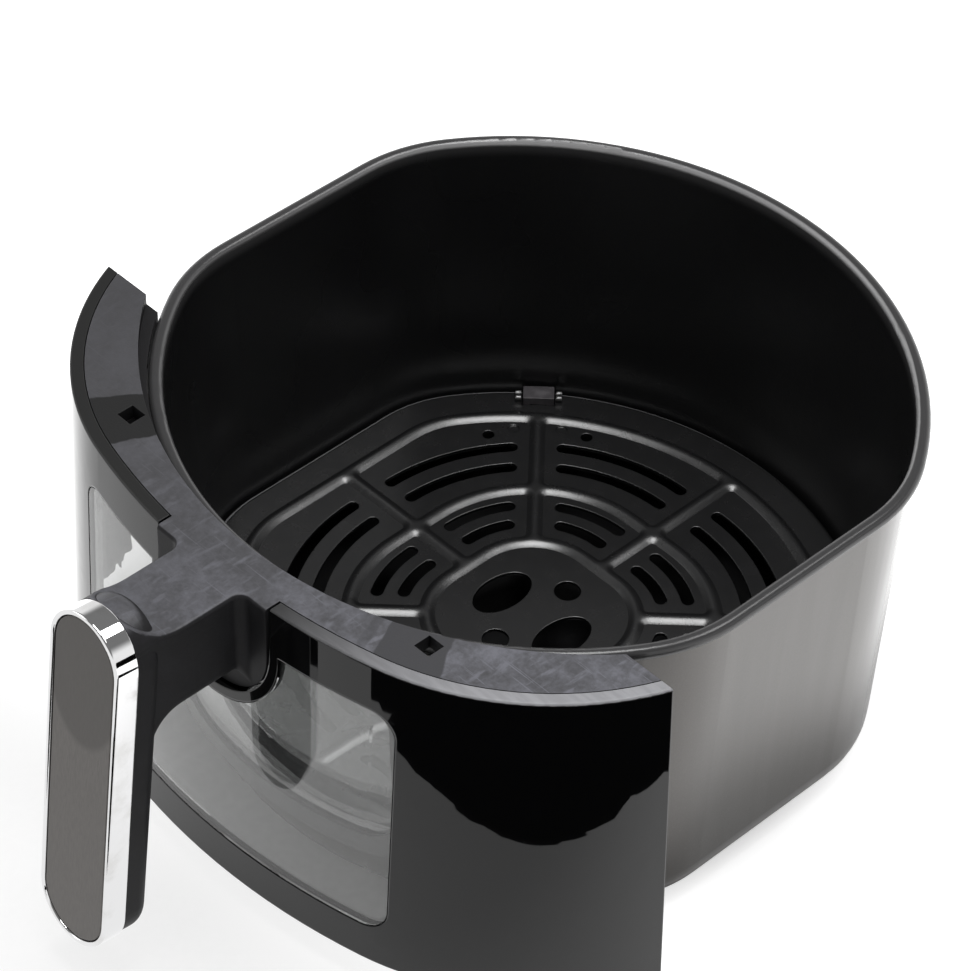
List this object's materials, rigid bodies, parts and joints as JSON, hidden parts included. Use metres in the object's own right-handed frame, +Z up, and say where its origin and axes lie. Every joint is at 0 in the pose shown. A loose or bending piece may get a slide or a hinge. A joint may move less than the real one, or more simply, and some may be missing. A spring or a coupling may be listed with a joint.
{
  "type": "air fryer drawer",
  "caption": "Pull-out air fryer drawer: deep non-stick pan with a lift-out slotted crisper plate, a glazed window front and a fixed upright pull handle.",
  "frame": {"origin": "centre of the pan's flat base, on the plane it rests on", "axes": "+Z up out of the pan's mouth, -Y to the front where the window and handle are, +X to the right of a person who stands at the handle and faces the drawer"},
  "size_m": [0.2546, 0.3097, 0.142],
  "materials": {
    "pan_coating": "satin non-stick coating",
    "plate_coating": "satin non-stick coating",
    "fascia_gloss": "high gloss",
    "collar_matte": "fine matte grain",
    "grip_chrome": "polished plating",
    "grip_satin": "satin, warm grey",
    "clear_glass": "clear, polished",
    "frame_coating": "black coated sheet",
    "retainer_matte": "matte",
    "bracket_steel": "plain folded sheet",
    "screw_steel": "plain",
    "seal_rubber": "matte silicone",
    "bumper_rubber": "matte silicone"
  },
  "bodies": {
    "drawer": {"pan": "pan_coating", "inner_seal": "seal_rubber", "inner_pane": "clear_glass", "inner_frame": "frame_coating", "fascia": "fascia_gloss", "outer_seal": "seal_rubber", "outer_pane": "clear_glass", "pane_retainer": "retainer_matte", "collar": "collar_matte", "grip_ring": "grip_chrome", "grip_insert": "grip_satin", "bracket_left": "bracket_steel", "bracket_right": "bracket_steel", "fascia_screw_left_low": "screw_steel", "fascia_screw_left_high": "screw_steel", "fascia_screw_right_low": "screw_steel", "fascia_screw_right_high": "screw_steel", "collar_screw_left": "screw_steel", "collar_screw_right": "screw_steel"},
    "crisper": {"crisper_plate": "plate_coating", "bumper_back_right": "bumper_rubber", "bumper_back_left": "bumper_rubber", "bumper_front_left": "bumper_rubber", "bumper_front_right": "bumper_rubber"}
  },
  "joints": [
    {"name": "crisper_lift", "type": "slide", "parent": "drawer", "child": "crisper", "axis": [0, 0, 1], "range_m": [0, 0.13]}
  ]
}
